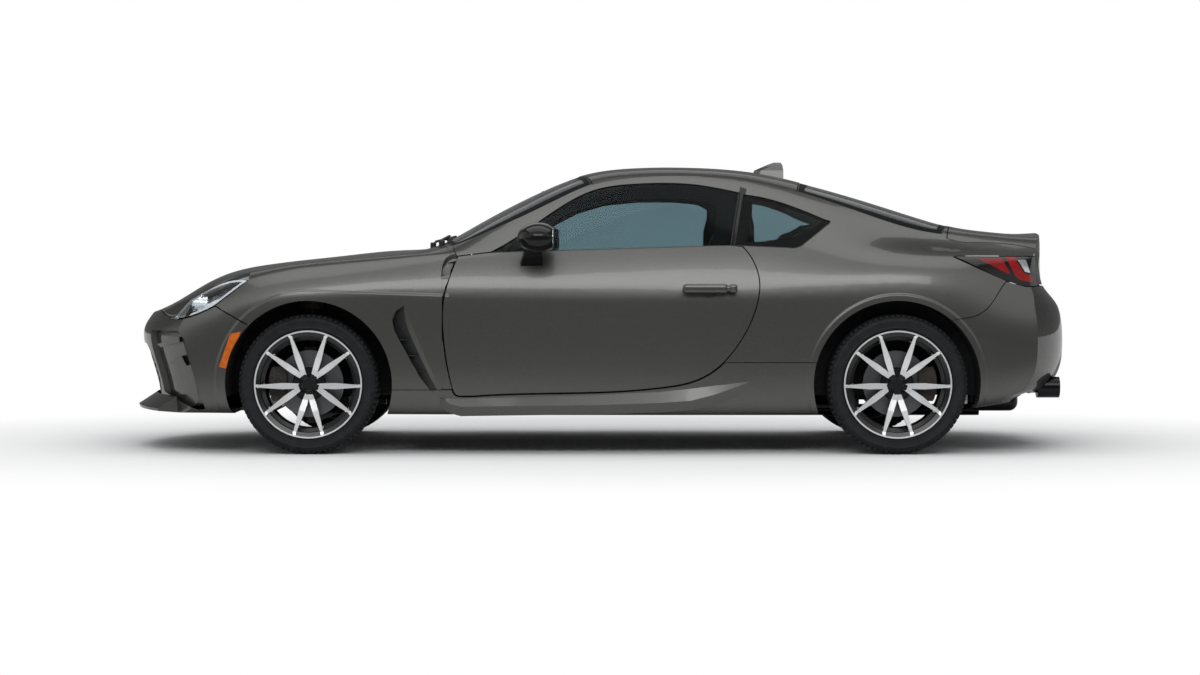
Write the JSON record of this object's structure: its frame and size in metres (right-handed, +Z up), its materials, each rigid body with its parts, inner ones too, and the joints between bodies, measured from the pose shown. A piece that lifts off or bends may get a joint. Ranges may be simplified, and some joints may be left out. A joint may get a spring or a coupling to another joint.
{
  "type": "coupe car",
  "caption": "Low two-door 2+2 coupe with long bonnet, opening doors, bonnet and boot lid, steered front wheels and spoked alloy rims.",
  "frame": {"origin": "on the ground under the middle of the car", "axes": "+X towards the tail, +Y towards the car's right-hand side, +Z up"},
  "size_m": [4.2636, 2.048, 1.299],
  "materials": {
    "paint": "gloss metallic",
    "glass": "gloss tinted",
    "lamp_glass": "gloss clear",
    "tail_glass": "gloss red",
    "black_plastic": "satin",
    "gloss_black": "gloss",
    "alloy": "machined",
    "tyre": "matte",
    "steel": "satin",
    "iron": "rough",
    "underbody": "satin",
    "fabric": "woven",
    "exhaust_steel": "satin"
  },
  "bodies": {
    "body": {"windscreen": "glass", "roof_panel": "paint", "rear_window": "glass", "grille": "black_plastic", "rear_diffuser": "black_plastic", "front_bumper": "paint", "rear_bumper": "paint", "fenders": "paint", "body_sides": "paint", "side_skirts": "paint", "headlamps": "lamp_glass", "tail_lamps": "tail_glass", "quarter_glass": "glass", "floor_pan": "underbody", "front_frame": "underbody", "roof_frame": "underbody", "cowl": "black_plastic", "front_suspension": "iron", "rear_suspension": "iron", "front_seats": "fabric", "rear_seat": "fabric", "dashboard": "black_plastic", "engine": "iron", "exhaust": "exhaust_steel", "front_lip": "paint", "antenna_fin": "paint"},
    "door_left": {"door_left": "paint", "door_glass_left": "glass", "mirror_and_handle_left": "gloss_black"},
    "knuckle_left": {"knuckle_left": "iron"},
    "wheel_front_left": {"wheel_front_left": "alloy", "tyre_front_left": "tyre"},
    "wheel_rear_left": {"wheel_rear_left": "alloy", "tyre_rear_left": "tyre"},
    "door_right": {"door_right": "paint", "door_glass_right": "glass", "mirror_and_handle_right": "gloss_black"},
    "knuckle_right": {"knuckle_right": "iron"},
    "wheel_front_right": {"wheel_front_right": "alloy", "tyre_front_right": "tyre"},
    "wheel_rear_right": {"wheel_rear_right": "alloy", "tyre_rear_right": "tyre"},
    "bonnet": {"bonnet": "paint"},
    "boot_lid": {"boot_lid": "paint"},
    "steering_wheel": {"steering_wheel": "black_plastic"}
  },
  "joints": [
    {"name": "bonnet_hinge", "type": "hinge", "parent": "body", "child": "bonnet", "pos_m": [-0.6525, 0, 0.892], "axis": [0, 1, 0], "range_deg": [0, 55]},
    {"name": "boot_lid_hinge", "type": "hinge", "parent": "body", "child": "boot_lid", "pos_m": [1.54637, 0, 1.003], "axis": [0, -1, 0], "range_deg": [0, 70]},
    {"name": "door_left_hinge", "type": "hinge", "parent": "body", "child": "door_left", "pos_m": [-0.6325, -0.846, 0.55], "axis": [0, 0, -1], "range_deg": [0, 65]},
    {"name": "steer_left", "type": "hinge", "parent": "body", "child": "knuckle_left", "pos_m": [-1.2775, -0.722, 0.19], "axis": [0, 0.2095, 0.9778], "range_deg": [-35, 35]},
    {"name": "wheel_front_left_spin", "type": "hinge", "parent": "knuckle_left", "child": "wheel_front_left", "pos_m": [-1.2775, -0.76, 0.306], "axis": [0, 1, 0], "continuous": true},
    {"name": "wheel_rear_left_spin", "type": "hinge", "parent": "body", "child": "wheel_rear_left", "pos_m": [1.2975, -0.775, 0.306], "axis": [0, 1, 0], "continuous": true},
    {"name": "door_right_hinge", "type": "hinge", "parent": "body", "child": "door_right", "pos_m": [-0.6325, 0.846, 0.55], "axis": [0, 0, 1], "range_deg": [0, 65]},
    {"name": "steer_right", "type": "hinge", "parent": "body", "child": "knuckle_right", "pos_m": [-1.2775, 0.722, 0.19], "axis": [0, -0.2095, 0.9778], "range_deg": [-35, 35]},
    {"name": "wheel_front_right_spin", "type": "hinge", "parent": "knuckle_right", "child": "wheel_front_right", "pos_m": [-1.2775, 0.76, 0.306], "axis": [0, 1, 0], "continuous": true},
    {"name": "wheel_rear_right_spin", "type": "hinge", "parent": "body", "child": "wheel_rear_right", "pos_m": [1.2975, 0.775, 0.306], "axis": [0, 1, 0], "continuous": true},
    {"name": "steering_wheel_turn", "type": "hinge", "parent": "body", "child": "steering_wheel", "pos_m": [-0.15, -0.36, 0.73], "axis": [0.9135, 0, 0.4067], "range_deg": [-475, 475]}
  ],
  "couplings": [
    {"joint": "steer_right", "follows": "steer_left", "ratio": 1},
    {"joint": "steering_wheel_turn", "follows": "steer_left", "ratio": 13.5}
  ]
}
